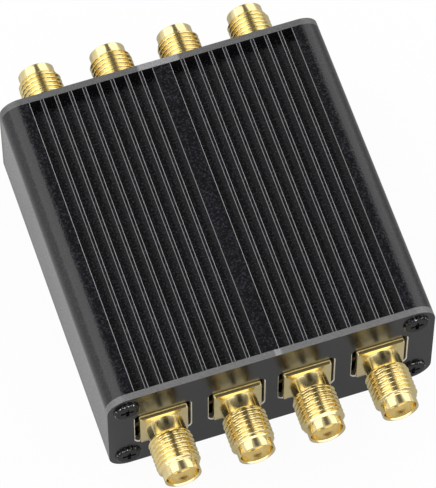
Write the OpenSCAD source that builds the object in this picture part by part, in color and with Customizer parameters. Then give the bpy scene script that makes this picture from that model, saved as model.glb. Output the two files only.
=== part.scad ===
// Four channel bandpass filter: an extruded finned tube closed by two screwed end plates,
// with four coaxial jacks at each end that are soldered to one board inside.
// X runs along a row of jacks, -Y points out of the front jacks and +Z is up.
// The origin is on the underside, at the middle of the footprint.

/* [Tube] */
// Width of the extruded tube
tube_w = 48; // [46:0.1:56]
// Height of the extruded tube
tube_h = 19.7; // [19:0.1:24]
// Length of the extruded tube between the end plates
tube_l = 48.3; // [42:0.1:70]
// Radius of the tube's long outer corners
corner_r = 3; // [1.5:0.1:3.5]
// Thickness of the side and bottom walls
wall_t = 1.5; // [1.2:0.1:1.8]
// Thickness of the roof under the grooves
roof_t = 1.4; // [1:0.1:1.8]
// Radius in the long inner corners
inner_r = 0.8; // [0.4:0.1:1.2]

/* [Fins] */
// Number of fins on each side of the middle rib
fins_per_side = 8; // [4:1:9]
// Thickness of one fin
fin_w = 0.54; // [0.4:0.02:0.7]
// Depth of the grooves between the fins
groove_depth = 2; // [1.2:0.1:2.4]
// Width of the flat rib along the middle
middle_rib_w = 2.7; // [1.5:0.1:4]
// Width of the plain strip along each side
side_strip_w = 4.3; // [4.2:0.1:6]
// Bevel along the upper edges of the fins
fin_bevel = 0.08; // [0.04:0.02:0.16]

/* [End plates] */
// Thickness of an end plate
plate_t = 1; // [0.8:0.1:1.6]
// Bevel round each cut-out on the outer face
cutout_bevel = 0.14; // [0.05:0.01:0.25]
// Clearance beside the flange in a cut-out, on the left and right
cutout_side_gap = 0.6; // [0.3:0.05:0.8]
// Clearance above and below the flange in a cut-out
cutout_height_gap = 0.5; // [0.3:0.05:0.8]
// Corner radius of a cut-out
cutout_r = 0.9; // [0.4:0.1:1.5]

/* [Screws] */
// Distance of the screws from the sides of the plate
screw_side_inset = 2.8; // [2.6:0.1:3]
// Distance of the screws from the top and bottom of the plate
screw_height_inset = 3; // [2.8:0.1:3.2]
// Outer thread diameter of the screws
screw_d = 2; // [1.6:0.1:2.2]
// Length of a screw under its head
screw_l = 6; // [4:0.5:10]
// Diameter of a screw head
head_d = 3.8; // [3.2:0.1:4.4]
// Height of a screw head
head_h = 0.45; // [0.4:0.05:1]
// Radius round the rim of a screw head
head_rim_r = 0.3; // [0.1:0.05:0.35]
// Depth of the cross recess in the head
recess_depth = 0.35; // [0.2:0.05:0.35]
// Span of the cross recess across its arms
recess_span = 1.9; // [1.4:0.1:2.2]
// Width of one arm of the cross recess
recess_arm = 0.5; // [0.3:0.05:0.6]
// Wall of the screw channel round its hole
channel_wall = 1.1; // [0.8:0.1:1.4]

/* [Jacks] */
// Distance from the axis of an outer jack to the side of the tube
outer_jack_inset = 8.03; // [7.9:0.01:9]
// Distance between the two inner jacks as a share of that between the two outer ones
inner_share = 0.3225; // [0.3:0.0005:0.36]
// Side of the square flange
flange_w = 7; // [6.6:0.1:7.4]
// Thickness of the flange
flange_t = 1.7; // [1.65:0.05:2.4]
// Corner radius of the flange
flange_r = 0.25; // [0.1:0.05:0.5]
// Height of the flange's front face above the end plate
flange_proud = 0.55; // [0.4:0.05:0.6]
// Diameter of the plain neck behind the thread
neck_d = 5.5; // [5.3:0.05:5.6]
// Length of the plain neck
neck_l = 2.1; // [1.2:0.1:3]
// Outer diameter of the thread
thread_d = 6.35; // [6.2:0.01:6.5]
// Length of the thread
thread_l = 4.95; // [4:0.05:8]
// Bevel at both ends of the thread
thread_bevel = 0.4; // [0.2:0.05:0.42]
// Diameter of the plain nose in front of the thread
nose_d = 5.35; // [5.2:0.05:5.5]
// Length of the plain nose
nose_l = 1.4; // [0.8:0.1:2]
// Diameter of the mouth
mouth_d = 4.6; // [4.5:0.05:4.8]
// Depth of the mouth down to the insulator
mouth_depth = 1.9; // [1.5:0.1:2.4]
// Bevel round the mouth
mouth_bevel = 0.2; // [0.05:0.01:0.25]
// Outer diameter of the insulator
insulator_d = 4.1; // [3.8:0.05:4.3]
// Outer diameter of the centre contact
contact_d = 1.27; // [1.1:0.01:1.4]
// Diameter of the hole in the centre contact
contact_hole_d = 0.94; // [0.8:0.01:0.98]
// Depth of the hole in the centre contact
contact_hole_l = 2.7; // [2:0.1:4]
// Width of the slots between the contact's spring fingers
finger_slot_w = 0.16; // [0.1:0.02:0.24]
// Length of the contact's spring fingers
finger_l = 2.1; // [1:0.1:2.6]
// Diameter of the contact's solder tail
tail_d = 0.8; // [0.6:0.05:1]
// Length of the solder tail behind the flange
tail_l = 2.4; // [1.5:0.1:3.5]
// Length of the flange's board legs
leg_l = 3.2; // [2:0.1:4.5]
// Width and height of one board leg
leg_w = 1; // [0.8:0.1:1.3]

/* [Board] */
// Thickness of the circuit board
board_t = 1; // [0.8:0.1:1.6]
// Side clearance of the board in its rails
board_side_gap = 0.15; // [0.05:0.05:0.3]
// Depth of the rails that hold the board
rail_depth = 1.2; // [0.8:0.1:1.3]
// Thickness of one rail
rail_t = 0.9; // [0.7:0.1:1.2]
// Clearance between two neighbouring ceramic filter blocks
block_gap = 2; // [1.4:0.1:3]
// Clearance between an outer filter block and the rail beside it
block_side_gap = 1.1; // [0.6:0.1:1.6]
// Clearance between a filter block and the roof
block_top_gap = 2.65; // [2:0.05:3.2]
// Length of a ceramic filter block
block_l = 16; // [10:0.5:20]
// Number of resonator holes in a filter block
resonators = 4; // [2:1:4]
// Diameter of a resonator hole
resonator_d = 1.1; // [0.8:0.1:1.2]
// Diameter of the tuning recess round a resonator hole
recess_d = 1.6; // [1.5:0.05:1.7]
// Depth of the tuning recess round a resonator hole
tuning_depth = 0.8; // [0.4:0.1:1.2]
// Length of a chip capacitor
capacitor_l = 1; // [0.8:0.1:1.4]
// Length of a chip inductor
inductor_l = 1.6; // [1.2:0.1:2]
// Distance between a solder tail and the chip capacitor in front of it
capacitor_gap = 1.2; // [0.6:0.1:1.4]
// Distance between the filter block and the chip inductor beside its end
inductor_gap = 0.9; // [0.6:0.1:1.1]

/* [Hidden] */
// Running clearance between turned pieces, and between screws and their holes
fit_gap = 0.02;
thread_gap = 0.05;
hole_gap = 0.15;
// Clearance over the board in its rails
rail_gap = 0.1;
// Overcut that keeps every cut clear of the face it starts from
over = 1;
$fn = 64;

groove_w = (tube_w / 2 - side_strip_w - middle_rib_w / 2 - fins_per_side * fin_w)
    / (fins_per_side + 1);
cavity_w = tube_w - 2 * wall_t;
cavity_top = tube_h - groove_depth - roof_t;
jack_z = tube_h / 2;
board_top = jack_z - tail_d / 2;
plate_face = tube_l / 2 + plate_t;
flange_face = plate_face + flange_proud;
board_l = 2 * (flange_face - flange_t);
board_w = cavity_w - 2 * board_side_gap;
barrel_l = neck_l + thread_l + nose_l;
block_pitch = (cavity_w - 2 * rail_depth - 2 * block_side_gap + block_gap) / 4;
block_w = block_pitch - block_gap;
block_h = cavity_top - board_top - block_top_gap;
BLOCK_X = [for (n = [-1.5, -0.5, 0.5, 1.5]) n * block_pitch];
outer_x = tube_w / 2 - outer_jack_inset;
JACK_X = [-outer_x, -outer_x * inner_share, outer_x * inner_share, outer_x];
SCREW_XZ = [for (x = [-1, 1], z = [screw_height_inset, tube_h - screw_height_inset])
    [x * (tube_w / 2 - screw_side_inset), z]];
ENDS = ["front", "rear"];

// A rectangle about the origin with true arcs at its corners
module round_rect(w, h, r) {
    square([w - 2 * r, h], center = true);
    square([w, h - 2 * r], center = true);
    for (x = [-1, 1], y = [-1, 1]) translate([x * (w / 2 - r), y * (h / 2 - r)]) circle(r);
}

// Stands a flat outline up across the tube and gives it a length along Y
module along_tube(length) {
    rotate([90, 0, 0]) linear_extrude(length, center = true) children();
}

// Turns the front end's pieces to the end that is asked for
module at_end(end) {
    rotate([0, 0, end == "rear" ? 180 : 0]) children();
}

// Places a jack whose axis is +Z and whose flange's front face is at zero, counted from the left
module at_jack(end, k) {
    at_end(end)
        translate([(end == "rear" ? -1 : 1) * JACK_X[k - 1], -flange_face, jack_z])
            rotate([90, 0, 0]) children();
}

module tube_outline() {
    translate([0, tube_h / 2]) round_rect(tube_w, tube_h, corner_r);
}

// One groove, open at the top, with the bevels that it cuts on the fins beside it
module groove() {
    polygon([
        [0, 0], [groove_w, 0], [groove_w, groove_depth - fin_bevel],
        [groove_w + fin_bevel, groove_depth], [groove_w + fin_bevel, groove_depth + over],
        [-fin_bevel, groove_depth + over], [-fin_bevel, groove_depth],
        [0, groove_depth - fin_bevel]
    ]);
}

module all_grooves() {
    for (side = [0, 1], k = [0:fins_per_side])
        mirror([side, 0]) translate(
            [middle_rib_w / 2 + k * (groove_w + fin_w), tube_h - groove_depth]
        ) groove();
}

// The pair of rails on each side wall that the board slides into
module board_rails() {
    for (side = [0, 1], z = [board_top - board_t - rail_t, board_top + rail_gap])
        mirror([side, 0]) translate([cavity_w / 2 - rail_depth, z])
            square([rail_depth + wall_t / 2, rail_t]);
}

module screw_channels(r) {
    for (p = SCREW_XZ) translate(p) circle(r);
}

// The hollow of the tube, cut away where the rails and the screw channels stand
module cavity_outline() {
    difference() {
        translate([0, (wall_t + cavity_top) / 2])
            round_rect(cavity_w, cavity_top - wall_t, inner_r);
        board_rails();
        screw_channels(screw_d / 2 + channel_wall);
    }
}

module housing() {
    color("#1b1b1d") along_tube(tube_l) difference() {
        tube_outline();
        cavity_outline();
        all_grooves();
        screw_channels(screw_d / 2 + thread_gap);
    }
}

// Section of a bevelled opening of width w, whose outer face lies along the X axis
module bevel_section(w) {
    flare = w / 2 + cutout_bevel + over;
    polygon([[-flare, -over], [flare, -over], [w / 2, cutout_bevel], [-w / 2, cutout_bevel]]);
}

// A cut-out with a bevel round its outer face, which lies at y = 0 with the plate behind it
module cutout(w, h) {
    r = cutout_r;
    rotate([90, 0, 0]) translate([0, 0, -plate_t - over])
        linear_extrude(plate_t + 2 * over) round_rect(w, h, r);
    linear_extrude(h - 2 * r, center = true) bevel_section(w);
    rotate([0, 90, 0]) linear_extrude(w - 2 * r, center = true) bevel_section(h);
    for (x = [-1, 1], z = [-1, 1])
        translate([x * (w / 2 - r), -over, z * (h / 2 - r)]) rotate([-90, 0, 0])
            cylinder(h = cutout_bevel + over, r1 = r + cutout_bevel + over, r2 = r);
}

module end_plate(end) {
    color("#2b2b2d") at_end(end) difference() {
        translate([0, plate_t / 2 - plate_face, 0]) along_tube(plate_t) difference() {
            tube_outline();
            screw_channels(screw_d / 2 + hole_gap);
        }
        for (x = JACK_X) translate([x, -plate_face, jack_z])
            cutout(flange_w + 2 * cutout_side_gap, flange_w + 2 * cutout_height_gap);
    }
}

// A low round head with a rounded rim and a cross recess, axis +Z, head's underside at zero
module screw() {
    difference() {
        union() {
            translate([0, 0, -screw_l]) cylinder(h = screw_l, d = screw_d);
            rotate_extrude() difference() {
                square([head_d / 2, head_h]);
                translate([head_d / 2 - head_rim_r, head_h - head_rim_r]) difference() {
                    square(head_rim_r + over);
                    circle(head_rim_r);
                }
            }
        }
        for (turn = [0, 90]) rotate([0, 0, turn])
            translate([-recess_span / 2, -recess_arm / 2, head_h - recess_depth])
                cube([recess_span, recess_arm, recess_depth + over]);
    }
}

module plate_screws(end) {
    color("#161617") at_end(end) for (p = SCREW_XZ)
        translate([p[0], -plate_face, p[1]]) rotate([90, 0, 0]) screw();
}

// Half section of the turned barrel, with its bore for the insulator
module barrel_section() {
    thread_top = neck_l + thread_l;
    bore_r = insulator_d / 2 + fit_gap;
    polygon([
        [bore_r, -flange_t], [bore_r, barrel_l - mouth_depth],
        [mouth_d / 2, barrel_l - mouth_depth], [mouth_d / 2, barrel_l - mouth_bevel],
        [mouth_d / 2 + mouth_bevel, barrel_l], [nose_d / 2, barrel_l],
        [nose_d / 2, thread_top], [thread_d / 2 - thread_bevel, thread_top],
        [thread_d / 2, thread_top - thread_bevel], [thread_d / 2, neck_l + thread_bevel],
        [thread_d / 2 - thread_bevel, neck_l], [neck_d / 2, neck_l],
        [neck_d / 2, 0], [neck_d / 2, -flange_t]
    ]);
}

// Two legs on each side, one over and one under the board
module board_legs(length) {
    for (side = [0, 1], y = [-tail_d / 2, -tail_d / 2 - board_t - leg_w])
        mirror([side, 0, 0]) translate([flange_w / 2 - leg_w - flange_r, y, 0])
            cube([leg_w, leg_w, length]);
}

// Square flange, turned barrel and the four legs that straddle the board
module jack_shell(end, k) {
    color("#d9a83e") at_jack(end, k) {
        rotate_extrude() barrel_section();
        difference() {
            union() {
                translate([0, 0, -flange_t]) linear_extrude(flange_t)
                    round_rect(flange_w, flange_w, flange_r);
                translate([0, 0, -flange_t - leg_l]) board_legs(leg_l + flange_t / 2);
            }
            translate([0, 0, -flange_t]) cylinder(h = flange_t + over, d = neck_d);
        }
    }
}

module jack_insulator(end, k) {
    color("#f2efe6") at_jack(end, k) difference() {
        translate([0, 0, -flange_t])
            cylinder(h = flange_t + barrel_l - mouth_depth, d = insulator_d);
        translate([0, 0, -flange_t - over])
            cylinder(h = flange_t + barrel_l + 2 * over, d = contact_d + 2 * fit_gap);
    }
}

// Slotted socket, flush with the insulator's front, with its solder tail on the board
module jack_contact(end, k) {
    front = barrel_l - mouth_depth;
    color("#e0b64a") at_jack(end, k) difference() {
        union() {
            translate([0, 0, -flange_t]) cylinder(h = flange_t + front, d = contact_d);
            translate([0, 0, -flange_t - tail_l]) cylinder(h = tail_l, d = tail_d);
        }
        translate([0, 0, front - contact_hole_l])
            cylinder(h = contact_hole_l + over, d = contact_hole_d);
        for (turn = [45, 135]) rotate([0, 0, turn])
            translate([-contact_d, -finger_slot_w / 2, front - finger_l])
                cube([2 * contact_d, finger_slot_w, finger_l + over]);
    }
}

module circuit_board() {
    color("#1f5c3a") translate([-board_w / 2, -board_l / 2, board_top - board_t])
        cube([board_w, board_l, board_t]);
}

// Plated ceramic block with a row of resonator holes through its height
module filter_block(k) {
    pitch = block_l / resonators;
    color("#b9b6ad") translate([BLOCK_X[k - 1], 0, board_top]) difference() {
        translate([-block_w / 2, -block_l / 2, 0]) cube([block_w, block_l, block_h]);
        for (n = [0:resonators - 1]) translate([0, (n + 0.5) * pitch - block_l / 2, 0]) {
            translate([0, 0, -over]) cylinder(h = block_h + 2 * over, d = resonator_d);
            translate([0, 0, block_h - tuning_depth])
                cylinder(h = tuning_depth + over, d = recess_d);
        }
    }
}

// A chip part that lies along Y, centred on its footprint
module chip(length) {
    translate([-length / 4, -length / 2, 0]) cube([length / 2, length, length / 2]);
}

module chip_capacitors() {
    tail_end = board_l / 2 - tail_l;
    color("#a58a63") for (x = JACK_X, s = [-1, 1])
        translate([x, s * (tail_end - capacitor_gap - capacitor_l / 2), board_top])
            chip(capacitor_l);
}

module chip_inductors() {
    color("#3a3f46") for (x = BLOCK_X, s = [-1, 1])
        translate([x, s * (block_l / 2 + inductor_gap + inductor_l / 2), board_top])
            chip(inductor_l);
}

housing();
circuit_board();
chip_capacitors();
chip_inductors();
for (e = ENDS) end_plate(e);
for (e = ENDS) plate_screws(e);
for (k = [1:4]) filter_block(k);
for (e = ENDS, k = [1:4]) {
    jack_shell(e, k);
    jack_insulator(e, k);
    jack_contact(e, k);
}
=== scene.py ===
"""Dresses a four channel bandpass filter: a finned black tube with two rows of gold jacks."""
import logging
import math
from dataclasses import dataclass, field
from enum import Enum
from typing import Callable, Iterable, Mapping, Optional, Sequence, Union

import bmesh
import bpy
import numpy as np
from mathutils import Matrix, Vector


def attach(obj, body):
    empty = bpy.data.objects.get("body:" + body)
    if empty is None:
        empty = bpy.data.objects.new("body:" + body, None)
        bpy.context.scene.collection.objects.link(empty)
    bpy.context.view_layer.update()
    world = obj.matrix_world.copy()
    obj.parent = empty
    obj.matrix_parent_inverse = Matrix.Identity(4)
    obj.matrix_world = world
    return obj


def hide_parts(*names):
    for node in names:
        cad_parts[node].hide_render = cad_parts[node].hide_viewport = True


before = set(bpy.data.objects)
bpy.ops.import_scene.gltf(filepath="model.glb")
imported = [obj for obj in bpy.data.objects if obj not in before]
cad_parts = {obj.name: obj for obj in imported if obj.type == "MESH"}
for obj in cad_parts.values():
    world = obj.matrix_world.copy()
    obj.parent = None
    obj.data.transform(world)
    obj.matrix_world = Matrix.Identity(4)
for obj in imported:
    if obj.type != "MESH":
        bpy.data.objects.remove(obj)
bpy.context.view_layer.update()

LOG = logging.getLogger("bandpass_filter")
MM = 0.001
Number = Union[float, "Value"]
Colour = tuple[float, float, float]
Point = tuple[float, float, float]


class End(Enum):
    """The two ends of the tube, each with the sign of the way its jacks point along Y."""

    FRONT = -1
    REAR = 1

    @property
    def label(self) -> str:
        """The word that the names of this end's nodes start with."""
        return self.name.lower()


class Value:
    """A number that varies over a surface, with arithmetic that adds Math nodes."""

    def __init__(self, tree: "ShaderTree", socket: bpy.types.NodeSocket) -> None:
        """Wraps an output socket.

        Args:
            tree: The shader tree that the socket belongs to.
            socket: The output that carries the number.
        """
        self.tree = tree
        self.socket = socket

    def _maths(self, operation: str, *terms: Number) -> "Value":
        """Adds one Math node.

        Args:
            operation: The node's operation.
            terms: The numbers or values it works on, in order.

        Returns:
            The result.
        """
        node = self.tree.node(
            "ShaderNodeMath", {"operation": operation}, dict(enumerate(terms))
        )
        return Value(self.tree, node.outputs[0])

    def __add__(self, other: Number) -> "Value":
        """This value plus another."""
        return self._maths("ADD", self, other)

    def __radd__(self, other: Number) -> "Value":
        """Another value plus this one."""
        return self._maths("ADD", other, self)

    def __sub__(self, other: Number) -> "Value":
        """This value less another."""
        return self._maths("SUBTRACT", self, other)

    def __rsub__(self, other: Number) -> "Value":
        """Another value less this one."""
        return self._maths("SUBTRACT", other, self)

    def __mul__(self, other: Number) -> "Value":
        """This value times another."""
        return self._maths("MULTIPLY", self, other)

    def __rmul__(self, other: Number) -> "Value":
        """Another value times this one."""
        return self._maths("MULTIPLY", other, self)

    def __truediv__(self, other: Number) -> "Value":
        """This value divided by another."""
        return self._maths("DIVIDE", self, other)

    def __rtruediv__(self, other: Number) -> "Value":
        """Another value divided by this one."""
        return self._maths("DIVIDE", other, self)

    def __pow__(self, other: Number) -> "Value":
        """This value to a power."""
        return self._maths("POWER", self, other)

    def __abs__(self) -> "Value":
        """This value without its sign."""
        return self._maths("ABSOLUTE", self)

    def at_least(self, other: Number) -> "Value":
        """The larger of this value and another."""
        return self._maths("MAXIMUM", self, other)

    def at_most(self, other: Number) -> "Value":
        """The smaller of this value and another."""
        return self._maths("MINIMUM", self, other)

    def between(self, low: float, high: float) -> "Value":
        """A smooth step of this value.

        Args:
            low: Where the step begins, and gives 0.
            high: Where it ends, and gives 1; it may be the smaller of the two.

        Returns:
            The step, from 0 to 1.
        """
        start, stop = (low, high) if low < high else (high, low)
        node = self.tree.node(
            "ShaderNodeMapRange",
            {"interpolation_type": "SMOOTHSTEP"},
            {"Value": self, "From Min": start, "From Max": stop},
        )
        step = Value(self.tree, node.outputs[0])
        return step if low < high else 1 - step


class ShaderTree:
    """Builds the nodes of one material or of the world."""

    def __init__(self, owner: Union[bpy.types.Material, bpy.types.World]) -> None:
        """Empties the owner's node tree.

        Args:
            owner: What the nodes are for.
        """
        owner.use_nodes = True
        self.tree = owner.node_tree
        self.tree.nodes.clear()
        self.shared: dict[str, bpy.types.NodeSocket] = {}

    def node(
        self,
        kind: str,
        settings: Optional[Mapping[str, object]] = None,
        inputs: Optional[Mapping[Union[str, int], object]] = None,
    ) -> bpy.types.Node:
        """Adds any node.

        Args:
            kind: The node's type.
            settings: Its own settings; "stops" gives a ramp's (position, colour) pairs.
            inputs: Numbers, colours, values or output sockets by input name or index.

        Returns:
            The node.
        """
        made = self.tree.nodes.new(kind)
        for name, setting in (settings or {}).items():
            if name == "stops":
                self._set_stops(made.color_ramp, setting)
            else:
                setattr(made, name, setting)
        for name, given in (inputs or {}).items():
            target = made.inputs[name]
            if isinstance(given, Value):
                self.tree.links.new(given.socket, target)
            elif isinstance(given, bpy.types.NodeSocket):
                self.tree.links.new(given, target)
            elif target.type == "RGBA" and not isinstance(given, (int, float)):
                target.default_value = (*given, 1.0)[:4]
            else:
                target.default_value = given
        return made

    @staticmethod
    def _set_stops(ramp: bpy.types.ColorRamp, stops: Sequence[tuple[float, Colour]]) -> None:
        """Gives a colour ramp its stops.

        Args:
            ramp: The ramp.
            stops: Position and colour of each stop, in order.
        """
        while len(ramp.elements) < len(stops):
            ramp.elements.new(1.0)
        for element, (place, colour) in zip(ramp.elements, stops):
            element.position = place
            element.color = (*colour, 1.0)

    def coordinates(self, output: str) -> bpy.types.NodeSocket:
        """The object's own coordinates or normals, from one node for the whole tree."""
        if output not in self.shared:
            self.shared[output] = self.node("ShaderNodeTexCoord").outputs[output]
        return self.shared[output]

    def parts(self, vector: bpy.types.NodeSocket) -> tuple["Value", "Value", "Value"]:
        """The X, Y and Z of a vector."""
        split = self.node("ShaderNodeSeparateXYZ", None, {0: vector})
        return tuple(Value(self, out) for out in split.outputs)

    def scaled(self, factors: Point) -> bpy.types.NodeSocket:
        """Object coordinates times a factor on each axis."""
        return self.node(
            "ShaderNodeVectorMath",
            {"operation": "MULTIPLY"},
            {0: self.coordinates("Object"), 1: factors},
        ).outputs[0]

    def noise(
        self, grain: float, detail: float = 2.0, rough: float = 0.5, stretch: Point = (1, 1, 1)
    ) -> "Value":
        """Fractal noise over the object.

        Args:
            grain: Size of its largest features, in metres.
            detail: How many finer layers it has.
            rough: How strong the finer layers are.
            stretch: How much longer the features are along each axis.

        Returns:
            The noise, from 0 to 1 with its middle at 0.5.
        """
        factors = tuple(1 / (grain * s) for s in stretch)
        made = self.node(
            "ShaderNodeTexNoise",
            None,
            {"Vector": self.scaled(factors), "Scale": 1.0, "Detail": detail, "Roughness": rough},
        )
        return Value(self, made.outputs[0])

    def cells(self, grain: float) -> "Value":
        """Distance to the nearest of scattered points about a grain apart, in grains."""
        made = self.node(
            "ShaderNodeTexVoronoi", None, {"Vector": self.scaled((1 / grain,) * 3), "Scale": 1.0}
        )
        return Value(self, made.outputs["Distance"])

    def blend(
        self, share: Number, first: object, second: object, way: str = "MIX"
    ) -> bpy.types.NodeSocket:
        """Mixes two colours.

        Args:
            share: How much of the second colour shows.
            first: The first colour, a tuple or an output socket.
            second: The second colour, a tuple or an output socket.
            way: The kind of mixing.

        Returns:
            The mixed colour.
        """
        mix = self.node(
            "ShaderNodeMix",
            {"data_type": "RGBA", "blend_type": way, "clamp_factor": True},
            {0: share, 6: first, 7: second},
        )
        return mix.outputs[2]

    def bump(
        self, height: "Value", depth: float, strength: float = 1.0
    ) -> bpy.types.NodeSocket:
        """A normal that follows a height.

        Args:
            height: The height, about 0 to 1.
            depth: What a height of 1 stands for, in metres.
            strength: How much of it is used.

        Returns:
            The normal.
        """
        made = self.node(
            "ShaderNodeBump", None, {"Height": height, "Distance": depth, "Strength": strength}
        )
        return made.outputs["Normal"]

    def surface(self, shader: bpy.types.NodeSocket) -> None:
        """Links a shader to a material output."""
        self.node("ShaderNodeOutputMaterial", None, {"Surface": shader})

    def principled(self, **sockets: object) -> bpy.types.NodeSocket:
        """A Principled shader; each argument is a socket's name with _ for each space."""
        named = {name.replace("_", " "): given for name, given in sockets.items()}
        return self.node("ShaderNodeBsdfPrincipled", None, named).outputs["BSDF"]


@dataclass(frozen=True)
class Finish:
    """A finish of the filter. Each kind adds its own nodes in shade()."""

    name: str
    slot: str

    def shade(self, tree: ShaderTree) -> None:
        """Builds the finish's nodes; each kind has its own."""
        raise NotImplementedError

    def material(self) -> bpy.types.Material:
        """The finish as a material, made once and then shared."""
        made = bpy.data.materials.get(self.name)
        if made is None:
            made = bpy.data.materials.new(self.name)
            self.shade(ShaderTree(made))
        return made

    def coat(self, piece: bpy.types.Object) -> bpy.types.Object:
        """Puts the finish on the whole of a piece.

        Args:
            piece: A mesh object.

        Returns:
            The same piece.
        """
        piece.data.materials.clear()
        piece.data.materials.append(self.material())
        return piece


@dataclass(frozen=True)
class AnodisedTube(Finish):
    """Black anodising on blasted aluminium, with painted highlights along the fins' edges."""

    base: Colour = (0.0016, 0.0016, 0.0023)
    # The next colour paints the highlights on the fins' edges.
    edge_highlight: Colour = (0.5, 0.5, 0.51)
    grain: float = 0.3 * MM
    grain_depth: float = 0.035 * MM

    def shade(self, tree: ShaderTree) -> None:
        """Builds the blasted grain, die lines, painted highlights on the fins' edges, a painted
        lighter groove floor and the paler sawn ends.
        """
        fine = tree.noise(self.grain, detail=1.0, rough=0.5)
        coarse = tree.noise(self.grain * 3, detail=2.0)
        cloud = tree.noise(9 * MM, detail=3.0)
        drawn = tree.noise(0.12 * MM, detail=2.0, stretch=(1, 60, 1))
        place, _, height = tree.parts(tree.coordinates("Object"))
        lean, across, up = tree.parts(tree.coordinates("Normal"))
        sawn = abs(across).between(0.85, 0.95)
        flat = (abs(place) / MM).between(20.6, 20.3)
        bevel = (
            abs(lean).between(0.3, 0.5) * up.between(0.4, 0.55) * flat
            * (height / MM).between(19.4, 19.5)
        )
        # Painted highlights: the fins' top chamfers turn pale, fully on those facing +X and less on
        # those facing -X.
        worn = bevel * (0.45 + 0.55 * lean.between(-0.5, 0.5)) * (0.8 + fine * 0.4)
        share = (fine * 0.9 + cloud * 0.1).between(0.46, 0.72)
        colour = tree.blend(
            share, tuple(c * 1.5 for c in self.base), tuple(c * 12 for c in self.base)
        )
        # Painted light: the groove floors get a lighter copy of the anodising, making up for the shade
        # the fins cast into the grooves.
        painted_light_floor = tree.blend(
            share, tuple(c * 0.1 for c in self.base), tuple(c * 26 for c in self.base)
        )
        sunk = (height / MM).between(18.6, 18.2) * up.between(0.8, 0.9)
        # Lays the painted lighter floor in the grooves.
        colour = tree.blend(sunk, colour, painted_light_floor)
        # Lays the painted highlights over the fins' edges.
        colour = tree.blend(worn, colour, self.edge_highlight)
        colour = tree.blend(sawn, colour, (0.32, 0.32, 0.33))
        tree.surface(tree.principled(
            Base_Color=colour,
            Metallic=sawn * 0.9,
            Roughness=0.22 + (fine - 0.5) * 0.3 + (cloud - 0.5) * 0.06,
            Specular_IOR_Level=0.64,
            Normal=tree.bump(fine * 0.6 + coarse * 0.3 + drawn * 0.1, self.grain_depth),
        ))


@dataclass(frozen=True)
class GlossPlate(Finish):
    """Glossy black coat on an aluminium plate whose cut edges are bare."""

    base: Colour = (0.006, 0.006, 0.007)
    bare: Colour = (0.265, 0.265, 0.265)

    def shade(self, tree: ShaderTree) -> None:
        """Builds the coat, its dust and orange peel, the grainy edges and bright rims, painted shade
        on the rear plate's edges and painted highlights on both plates' edges near the middle.
        """
        _, facing, _ = tree.parts(tree.coordinates("Normal"))
        cut = abs(facing).between(0.97, 0.9)
        rim = cut * abs(facing).between(0.5, 0.6)
        speck = tree.noise(0.12 * MM, detail=3.0, rough=0.7)
        wave = tree.noise(1.6 * MM, detail=1.0)
        dust = (1 - tree.cells(1.1 * MM)).between(0.93, 0.99)
        coat = tree.blend(wave.between(0.3, 0.7), self.base, tuple(c * 1.25 for c in self.base))
        coat = tree.blend(dust * 0.35, coat, (0.12, 0.11, 0.1))
        edge = tree.blend(
            speck.between(0.36, 0.64), tuple(c * 0.45 for c in self.bare), self.bare
        )
        edge = tree.blend(rim, edge, (0.9, 0.89, 0.88))
        place, end, _ = tree.parts(tree.coordinates("Object"))
        behind = (end / MM).between(0.0, 1.0)
        # Painted shade: the rear plate's cut edges are darkened towards black.
        edge = tree.blend(behind * 0.28, edge, (0.01, 0.01, 0.01))
        # Painted highlights: a pale grainy patch on the rear plate's edges about the middle, and a
        # narrow one on the front plate's edges just right of the middle.
        rear = abs(place / MM + 0.25).between(3.3, 2.8) * behind
        front = abs(place / MM - 1.0).between(0.6, 0.3) * (1 - behind)
        edge = tree.blend((rear + front) * speck.between(0.3, 0.55), edge, (0.4, 0.4, 0.41))
        rough = 0.2 + (wave - 0.5) * 0.06 + dust * 0.2
        tree.surface(tree.principled(
            Base_Color=tree.blend(cut, coat, edge),
            Metallic=(cut - rim) * 0.35,
            Roughness=rough * (1 - cut) + (0.45 + (speck - 0.5) * 0.3) * cut,
            Specular_IOR_Level=0.55,
            Normal=tree.bump(speck * cut * 0.8 + wave * 0.3 * (1 - cut), 0.008 * MM, 0.7),
        ))


@dataclass(frozen=True)
class GoldPlating(Finish):
    """Bright gold plating over turned brass."""

    base: Colour = (0.945, 0.795, 0.42)
    worn: Colour = (0.85, 0.69, 0.33)

    def shade(self, tree: ShaderTree) -> None:
        """Builds the plating with its turning marks and slight tarnish."""
        fine = tree.noise(0.07 * MM, detail=2.0)
        turned = tree.noise(0.05 * MM, detail=2.0, stretch=(40, 1, 40))
        cloud = tree.noise(1.3 * MM, detail=3.0)
        colour = tree.blend(cloud.between(0.35, 0.75) * 0.6, self.base, self.worn)
        tree.surface(tree.principled(
            Base_Color=colour,
            Metallic=1.0,
            Roughness=0.19 + (cloud - 0.5) * 0.1 + (fine - 0.5) * 0.08,
            Normal=tree.bump(fine * 0.4 + turned * 0.6, 0.0015 * MM),
        ))


@dataclass(frozen=True)
class BlackScrew(Finish):
    """Black oxide on steel, a little brighter where the driver has rubbed it."""

    base: Colour = (0.004, 0.004, 0.0045)

    def shade(self, tree: ShaderTree) -> None:
        """Builds the oxide with fine pits, and bare flecks along the rim and the recess."""
        pits = tree.noise(0.08 * MM, detail=2.0)
        cloud = tree.noise(0.7 * MM, detail=2.0)
        _, facing, _ = tree.parts(tree.coordinates("Normal"))
        turned = abs(facing).between(0.97, 0.8)
        fleck = turned * tree.noise(0.3 * MM, detail=3.0, rough=0.7).between(0.54, 0.62)
        colour = tree.blend(cloud.between(0.4, 0.8), self.base, tuple(c * 2.2 for c in self.base))
        colour = tree.blend(fleck, colour, (0.45, 0.45, 0.44))
        tree.surface(tree.principled(
            Base_Color=colour,
            Metallic=fleck,
            Roughness=0.13 + (pits - 0.5) * 0.14,
            Specular_IOR_Level=0.22,
            Normal=tree.bump(pits, 0.003 * MM, 0.5),
        ))


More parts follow.
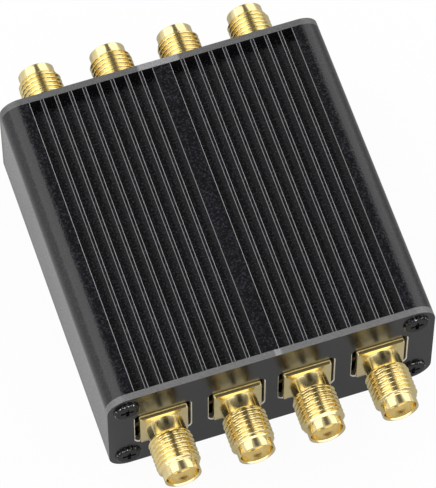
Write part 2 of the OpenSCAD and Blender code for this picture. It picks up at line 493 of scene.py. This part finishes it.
@dataclass(frozen=True)
class WhiteInsulator(Finish):
    """Waxy white fluoropolymer."""

    base: Colour = (0.8, 0.76, 0.66)

    def shade(self, tree: ShaderTree) -> None:
        """Builds the plastic with soft turning rings."""
        ring = tree.noise(0.12 * MM, detail=1.0, stretch=(1, 30, 1))
        colour = tree.blend(ring.between(0.3, 0.7), tuple(c * 0.93 for c in self.base), self.base)
        tree.surface(tree.principled(
            Base_Color=colour,
            Roughness=0.42 + (ring - 0.5) * 0.1,
            Subsurface_Weight=0.15,
            Subsurface_Radius=(0.001, 0.001, 0.0008),
            Subsurface_Scale=0.3,
            Normal=tree.bump(ring, 0.002 * MM, 0.5),
        ))


@dataclass(frozen=True)
class BoardLaminate(Finish):
    """Green solder resist over copper tracks on a glass laminate."""

    resist: Colour = (0.006, 0.03, 0.014)
    track: Colour = (0.012, 0.055, 0.025)
    core: Colour = (0.1, 0.075, 0.035)

    def shade(self, tree: ShaderTree) -> None:
        """Builds the tracks that run along the channels, the gold ground strip and the weave."""
        x, _, _ = tree.parts(tree.coordinates("Object"))
        _, _, up = tree.parts(tree.coordinates("Normal"))
        face = abs(up).between(0.6, 0.9)
        weave = tree.noise(0.35 * MM, detail=1.0, stretch=(1, 3, 1)) * tree.noise(
            0.35 * MM, detail=1.0, stretch=(3, 1, 1)
        )
        nearest = abs(abs(abs(x) - 10.6 * MM) - 5.3 * MM)
        line = (nearest / MM).between(0.75, 0.6)
        ground = (abs(x) / MM).between(21.0, 21.3)
        colour = tree.blend(weave.between(0.15, 0.4), self.resist, tuple(c * 1.3 for c in self.resist))
        colour = tree.blend(line, colour, self.track)
        colour = tree.blend(ground, colour, (0.7, 0.5, 0.2))
        tree.surface(tree.principled(
            Base_Color=tree.blend(face, self.core, colour),
            Metallic=ground * face,
            Roughness=0.32 + (1 - face) * 0.35,
            Normal=tree.bump(weave + line * 0.4, 0.01 * MM, 0.5),
        ))


@dataclass(frozen=True)
class PlatedCeramic(Finish):
    """Matt silver plating on a ceramic block."""

    base: Colour = (0.66, 0.64, 0.6)

    def shade(self, tree: ShaderTree) -> None:
        """Builds the brushed plating with pale brown tarnish."""
        grain = tree.noise(0.12 * MM, detail=3.0)
        stain = tree.noise(3 * MM, detail=3.0)
        colour = tree.blend(stain.between(0.5, 0.75) * 0.5, self.base, (0.42, 0.36, 0.27))
        tree.surface(tree.principled(
            Base_Color=colour,
            Metallic=0.9,
            Roughness=0.42 + (grain - 0.5) * 0.25,
            Normal=tree.bump(grain, 0.006 * MM),
        ))


@dataclass(frozen=True)
class ChipBody(Finish):
    """Fired body of a chip part with tinned ends."""

    base: Colour = (0.36, 0.25, 0.14)
    length: float = 1 * MM
    centre: float = 21.1 * MM

    def shade(self, tree: ShaderTree) -> None:
        """Builds the body and its two bright tinned ends."""
        _, y, _ = tree.parts(tree.coordinates("Object"))
        grain = tree.noise(0.1 * MM, detail=2.0)
        away = abs(abs(y) - self.centre) / (self.length / 2)
        tinned = away.between(0.5, 0.56)
        colour = tree.blend(grain.between(0.3, 0.7), self.base, tuple(c * 1.25 for c in self.base))
        tree.surface(tree.principled(
            Base_Color=tree.blend(tinned, colour, (0.72, 0.71, 0.69)),
            Metallic=tinned,
            Roughness=0.4 + (grain - 0.5) * 0.2,
            Normal=tree.bump(grain, 0.004 * MM, 0.6),
        ))


@dataclass(frozen=True)
class PaleTable(Finish):
    """White studio table that keeps a soft shadow."""

    paper: Colour = (0.88, 0.88, 0.88)
    glow: float = 0.95

    def shade(self, tree: ShaderTree) -> None:
        """Builds the paper, the share of it that the camera sees as pure white, and the painted shade
        that mirrors see on it.
        """
        path = tree.node("ShaderNodeLightPath")
        seen = Value(tree, path.outputs["Is Camera Ray"])
        mirrored = Value(tree, path.outputs["Is Glossy Ray"])
        paper = tree.node("ShaderNodeBsdfDiffuse", None, {"Color": self.paper})
        place, _, _ = tree.parts(tree.coordinates("Object"))
        # Painted shade: mirrors see the table as a dim white, lighter beyond the tube's left side.
        level = seen + mirrored * (0.4 + 0.3 * (place / MM).between(-20.0, -28.0))
        white = tree.node("ShaderNodeEmission", None, {"Color": (1, 1, 1), "Strength": level})
        share = seen * self.glow + mirrored * 0.85
        tree.surface(tree.node(
            "ShaderNodeMixShader", None, {0: share, 1: paper.outputs[0], 2: white.outputs[0]}
        ).outputs[0])


@dataclass(frozen=True)
class Finishes:
    """Every finish of the filter."""

    tube: AnodisedTube = AnodisedTube("blasted_anodising", "black_anodised_tube")
    plate: GlossPlate = GlossPlate("gloss_coat", "black_end_plate")
    gold: GoldPlating = GoldPlating("gold_plating", "gold_plated_brass")
    contact: GoldPlating = GoldPlating(
        "contact_plating", "gold_contact", base=(1.0, 0.72, 0.3), worn=(0.85, 0.56, 0.22)
    )
    screw: BlackScrew = BlackScrew("black_oxide", "black_screw")
    insulator: WhiteInsulator = WhiteInsulator("waxy_plastic", "white_insulator")
    board: BoardLaminate = BoardLaminate("solder_resist", "board_laminate")
    ceramic: PlatedCeramic = PlatedCeramic("silver_plating", "plated_ceramic")
    capacitor: ChipBody = ChipBody("capacitor_body", "chip_capacitor")
    inductor: ChipBody = ChipBody(
        "inductor_body", "chip_inductor", base=(0.03, 0.035, 0.04), length=1.6 * MM,
        centre=9.7 * MM,
    )


@dataclass
class SolidPieces:
    """Solids of the CAD model that keep their shape and get a finish, some with soft edges."""

    names: list[str]
    finish: Finish
    edge: float = 0.0
    steps: int = 2

    def dress(self) -> list[bpy.types.Object]:
        """Coats the nodes and softens their edges.

        Returns:
            The nodes' objects.
        """
        made = []
        for name in self.names:
            node = self.finish.coat(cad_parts[name])
            if self.edge:
                soft = node.modifiers.new("soft_edges", "BEVEL")
                soft.width = self.edge
                soft.segments = self.steps
                soft.limit_method = "ANGLE"
                soft.angle_limit = math.radians(30)
                soft.use_clamp_overlap = True
                soft.harden_normals = True
            made.append(node)
        return made


@dataclass
class JackShell:
    """A jack's gold body: square flange, turned barrel with a cut thread, and board legs."""

    end: End
    number: int
    finish: Finish
    flange_face: float = 25.70
    axis_z: float = 9.85
    outer_x: float = 15.97
    inner_share: float = 0.3225
    flange_w: float = 7.0
    flange_t: float = 1.7
    flange_r: float = 0.25
    neck_r: float = 2.75
    neck_l: float = 2.1
    thread_r: float = 3.175
    thread_l: float = 4.95
    thread_bevel: float = 0.4
    pitch: float = 0.7056
    nose_r: float = 2.675
    nose_l: float = 1.4
    mouth_r: float = 2.3
    mouth_depth: float = 1.9
    mouth_bevel: float = 0.2
    bore_r: float = 2.07
    leg_w: float = 1.0
    leg_l: float = 3.2
    board_t: float = 1.0
    tail_r: float = 0.4
    rows_per_pitch: int = 16
    angles: np.ndarray = field(init=False)

    def __post_init__(self) -> None:
        """Lays out the columns round the axis, closer together at the flange's corners."""
        even = np.arange(96) * (2 * math.pi / 96)
        corners = np.pi / 4 + np.arange(4) * np.pi / 2
        extra = [c + d for c in corners for d in np.radians((-2.06, -1.2, -0.5, 0.5, 1.2, 2.06))]
        self.angles = np.sort(np.concatenate([even, np.mod(extra, 2 * np.pi)]))

    @property
    def axis_x(self) -> float:
        """Where the jack's axis stands along X, in millimetres."""
        shares = (-1.0, -self.inner_share, self.inner_share, 1.0)
        return shares[self.number - 1] * self.outer_x

    def _round(self, radius: float) -> np.ndarray:
        """A circle's radius at each column."""
        return np.full(len(self.angles), radius)

    def _square(self, inset: float) -> np.ndarray:
        """Radius of the flange's rounded square outline at each column.

        Args:
            inset: How far inside the flange's side it lies, in millimetres.

        Returns:
            The radii, in millimetres.
        """
        half = self.flange_w / 2 - inset
        radius = max(self.flange_r - inset, 0.05)
        turn = np.mod(self.angles + np.pi / 4, np.pi / 2) - np.pi / 4
        flat = half / np.cos(turn)
        middle = half - radius
        reach = middle * math.sqrt(2)
        away = np.abs(np.abs(turn) - np.pi / 4)
        root = np.maximum(radius**2 - (reach * np.sin(away)) ** 2, 0)
        corner = reach * np.cos(away) + np.sqrt(root)
        beside = half * np.tan(np.abs(turn)) > middle
        return np.where(beside, corner, flat)

    def _threaded(self, along: float) -> np.ndarray:
        """Radius of the cut thread at each column.

        Args:
            along: Distance in front of the flange's face, in millimetres.

        Returns:
            The radii, in millimetres.
        """
        depth = 0.52 * self.pitch
        start = (self.number * 0.37 + (0.5 if self.end is End.REAR else 0.0)) % 1.0
        turn = np.mod((along / self.pitch) - self.angles / (2 * np.pi) + start, 1.0)
        away = np.abs(2 * turn - 1)
        cut = np.clip((away - 0.2) / 0.6, 0, 1)
        radius = self.thread_r - depth * cut
        last = self.neck_l + self.thread_l
        ends = self.thread_r - self.thread_bevel + min(along - self.neck_l, last - along)
        return np.minimum(radius, max(ends, self.thread_r - self.thread_bevel))

    def rows(self) -> list[tuple[float, np.ndarray]]:
        """The closed section, row by row.

        Returns:
            Distance in front of the flange's face and the radii, in millimetres.
        """
        tip = self.neck_l + self.thread_l + self.nose_l
        shelf = tip - self.mouth_depth
        last = self.neck_l + self.thread_l
        rows = [
            (-self.flange_t, self._round(self.bore_r)),
            (shelf, self._round(self.bore_r)),
            (shelf, self._round(self.mouth_r)),
            (tip - self.mouth_bevel, self._round(self.mouth_r)),
            (tip - self.mouth_bevel * 0.3, self._round(self.mouth_r + self.mouth_bevel * 0.6)),
            (tip, self._round(self.mouth_r + self.mouth_bevel)),
            (tip, self._round(self.nose_r - 0.06)),
            (tip - 0.02, self._round(self.nose_r - 0.02)),
            (tip - 0.06, self._round(self.nose_r)),
            (last + 0.04, self._round(self.nose_r)),
        ]
        count = int(round(self.thread_l / self.pitch * self.rows_per_pitch))
        for step in range(count, -1, -1):
            along = self.neck_l + self.thread_l * step / count
            rows.append((along, self._threaded(along)))
        rows += [
            (self.neck_l - 0.04, self._round(self.neck_r)),
            (0.12, self._round(self.neck_r)),
            (0.035, self._round(self.neck_r + 0.035)),
            (0.0, self._round(self.neck_r + 0.12)),
            (0.0, self._square(0.08)),
            (-0.025, self._square(0.025)),
            (-0.08, self._square(0.0)),
            (-self.flange_t + 0.06, self._square(0.0)),
            (-self.flange_t, self._square(0.06)),
        ]
        return rows

    def build(self) -> bpy.types.Object:
        """Makes the shell as one mesh and puts it in the place of its CAD node.

        Returns:
            The dressed piece.
        """
        rows = self.rows()
        wide, tall = len(self.angles), len(rows)
        ring = np.arange(wide)
        places = np.concatenate([
            np.stack([r * np.cos(self.angles), r * np.sin(self.angles), np.full(wide, w)], 1)
            for w, r in rows
        ])
        faces = []
        for low in range(tall):
            high = (low + 1) % tall
            for a, b in zip(ring, np.roll(ring, -1)):
                faces.append((low * wide + a, low * wide + b, high * wide + b, high * wide + a))
        for side in (-1, 1):
            for lower in (-self.tail_r, -self.tail_r - self.board_t - self.leg_w):
                box, sides = self._leg(side, lower, len(places))
                places = np.concatenate([places, box])
                faces += sides
        name = f"{self.end.label}_jack_body_{self.number}"
        mesh = bpy.data.meshes.new(name)
        mesh.from_pydata(self._in_place(places).tolist(), [], faces)
        mesh.validate()
        made = bmesh.new()
        made.from_mesh(mesh)
        bmesh.ops.recalc_face_normals(made, faces=made.faces[:])
        made.to_mesh(mesh)
        made.free()
        mesh.shade_smooth()
        mesh.set_sharp_from_angle(angle=math.radians(32))
        piece = bpy.data.objects.new(name, mesh)
        bpy.context.scene.collection.objects.link(piece)
        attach(piece, "root")
        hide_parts(f"{self.end.label}_jack_shell_{self.number}")
        return self.finish.coat(piece)

    def _leg(self, side: int, lower: float, first: int) -> tuple[np.ndarray, list[tuple[int, ...]]]:
        """One board leg with bevelled long edges, rooted in the flange.

        Args:
            side: 1 or -1, for the side it stands on.
            lower: Height of its underside above the jack's axis, in millimetres.
            first: Index of its first vertex.

        Returns:
            Its vertices and its faces.
        """
        out = self.flange_w / 2 - self.flange_r
        w, e = self.leg_w, 0.08
        outline = [
            (e, 0), (w - e, 0), (w, e), (w, w - e), (w - e, w), (e, w), (0, w - e), (0, e)
        ]
        rows = [
            (-self.flange_t - self.leg_l, e), (-self.flange_t - self.leg_l + e, 0.0),
            (-self.flange_t / 2, 0.0),
        ]
        places = []
        for along, inset in rows:
            grow = 1 - 2 * inset / w
            for x, y in outline:
                across = out - w / 2 + (x - w / 2) * grow
                places.append((side * across, lower + w / 2 + (y - w / 2) * grow, along))
        count = len(outline)
        faces = [
            (
                first + r * count + i, first + r * count + (i + 1) % count,
                first + (r + 1) * count + (i + 1) % count, first + (r + 1) * count + i,
            )
            for r in range(len(rows) - 1) for i in range(count)
        ]
        faces.append(tuple(first + i for i in range(count)))
        faces.append(tuple(first + (len(rows) - 1) * count + i for i in range(count)))
        return np.array(places), faces

    def _in_place(self, places: np.ndarray) -> np.ndarray:
        """Turns the jack's own X, Y and distance along its axis into the row frame, in metres."""
        out = self.end.value
        x = self.axis_x - out * places[:, 0]
        y = out * (self.flange_face + places[:, 2])
        return np.stack([x, y, self.axis_z + places[:, 1]], 1) * MM


@dataclass
class Studio:
    """White table, two large soft lamps, the surroundings and the camera."""

    azimuth: float = -18.612
    elevation: float = 61.826
    roll: float = 0.083
    distance: float = 631.797 * MM
    across: float = 0.498 * MM
    upward: float = 3.881 * MM
    focal_px: float = 4374.07
    tall_px: int = 488

    def camera(self) -> bpy.types.Object:
        """Stands the camera where the photograph was taken from.

        Returns:
            The camera.
        """
        a, e, turn = (math.radians(v) for v in (self.azimuth, self.elevation, self.roll))
        back = Vector((math.sin(a) * math.cos(e), -math.cos(a) * math.cos(e), math.sin(e)))
        right = Vector((math.cos(a), math.sin(a), 0))
        up = back.cross(right)
        right, up = (
            right * math.cos(turn) + up * math.sin(turn),
            up * math.cos(turn) - right * math.sin(turn),
        )
        data = bpy.data.cameras.new("camera")
        data.sensor_width = 36.0
        data.sensor_fit = "AUTO"
        data.lens = self.focal_px * data.sensor_width / self.tall_px
        data.clip_start, data.clip_end = 0.01, 20
        made = bpy.data.objects.new("camera", data)
        bpy.context.scene.collection.objects.link(made)
        place = right * self.across + up * self.upward + back * self.distance
        turned = Matrix((right, up, back)).transposed().to_4x4()
        made.matrix_world = Matrix.Translation(place) @ turned
        bpy.context.scene.camera = made
        return made

    def table(self) -> bpy.types.Object:
        """Lays the table under the tube.

        Returns:
            The table.
        """
        mesh = bpy.data.meshes.new("table")
        made = bmesh.new()
        bmesh.ops.create_grid(made, x_segments=8, y_segments=8, size=3.0)
        made.to_mesh(mesh)
        made.free()
        piece = bpy.data.objects.new("table", mesh)
        piece.location = (0, 0, -0.00002)
        bpy.context.scene.collection.objects.link(piece)
        return PaleTable("white_paper", "table").coat(piece)

    def lamp(self, name: str, way: Point, size: tuple[float, float], radiance: float) -> None:
        """Hangs one soft lamp that faces the filter.

        Args:
            name: What it is called.
            way: The direction it hangs in, seen from the filter.
            size: Its width and its length, in metres.
            radiance: How bright its face is, with 1 for white paper in full light.
        """
        data = bpy.data.lights.new(name, "AREA")
        data.shape = "RECTANGLE"
        data.size, data.size_y = size
        data.energy = radiance * math.pi * size[0] * size[1]
        made = bpy.data.objects.new(name, data)
        out = Vector(way).normalized()
        made.location = out * 1.6
        side = Vector((0, 1, 0)).cross(out).normalized()
        made.matrix_world = Matrix.Translation(out * 1.6) @ Matrix(
            (side, out.cross(side), out)
        ).transposed().to_4x4()
        bpy.context.scene.collection.objects.link(made)

    def surroundings(self) -> None:
        """Builds the room: white for the camera, bright at the sides and dark overhead."""
        world = bpy.data.worlds.new("studio")
        bpy.context.scene.world = world
        tree = ShaderTree(world)
        x, y, z = tree.parts(tree.node("ShaderNodeTexCoord").outputs["Generated"])
        lean = x / ((x * x + z * z + 1e-6) ** 0.5)
        strip = lean.between(-0.26, 0.0) * lean.between(0.52, 0.3)
        strip = strip * z.between(0.2, 0.5) * y.between(-0.75, -0.5)
        left = lean.between(-0.93, -0.88) * lean.between(-0.18, -0.24)
        right = lean.between(0.45, 0.51) * lean.between(0.99, 0.95)
        behind = (left + right) * y.between(-0.15, -0.05) * y.between(0.87, 0.8)
        room = (0.9 + 0.9 * y.between(-0.2, -0.5)) * (1 - strip) * (1 - behind) + 0.11 * strip
        path = tree.node("ShaderNodeLightPath")
        seen = Value(tree, path.outputs["Is Camera Ray"])
        mirrored = Value(tree, path.outputs["Is Glossy Ray"])
        fill = 0.5 + 0.45 * y.between(0.1, -0.9)
        level = seen + (1 - seen) * (mirrored * room + (1 - mirrored) * fill)
        shade = tree.node("ShaderNodeBackground", None, {"Color": (1, 1, 1), "Strength": level})
        tree.node("ShaderNodeOutputWorld", None, {"Surface": shade.outputs[0]})

    def build(self) -> None:
        """Sets the studio up."""
        self.camera()
        self.table()
        self.lamp("left_lamp", (-0.56, 0.42, 0.7), (1.4, 1.9), 1.65)
        self.lamp("right_lamp", (0.72, 0.42, 0.56), (1.2, 1.9), 1.45)
        self.surroundings()
        bpy.context.scene.view_settings.view_transform = "Standard"


def both_ends(pattern: str) -> list[str]:
    """The two ends' names of a node.

    Args:
        pattern: The name, with {} for the end's word.

    Returns:
        The front one and the rear one.
    """
    return [pattern.format(end.label) for end in End]


def main() -> None:
    """Builds and dresses the filter."""
    logging.basicConfig(level=logging.INFO, format="%(message)s")
    finish = Finishes()
    numbers = range(1, 5)
    studio = Studio()
    studio.build()
    groups = [
        SolidPieces(["housing"], finish.tube),
        SolidPieces(both_ends("{}_plate"), finish.plate),
        SolidPieces(both_ends("{}_plate_screws"), finish.screw),
        SolidPieces(["circuit_board"], finish.board),
        SolidPieces([f"filter_block_{k}" for k in numbers], finish.ceramic),
        SolidPieces(["chip_capacitors"], finish.capacitor),
        SolidPieces(["chip_inductors"], finish.inductor),
        SolidPieces(
            [n for k in numbers for n in both_ends(f"{{}}_jack_insulator_{k}")], finish.insulator
        ),
        SolidPieces(
            [n for k in numbers for n in both_ends(f"{{}}_jack_contact_{k}")], finish.contact
        ),
    ]
    for group in groups:
        for piece in group.dress():
            LOG.info("dressed %s, %d faces", piece.name, len(piece.data.polygons))
    for end in End:
        for k in numbers:
            piece = JackShell(end, k, finish.gold).build()
            LOG.info("built %s, %d faces", piece.name, len(piece.data.polygons))


if __name__ == "__main__":
    main()
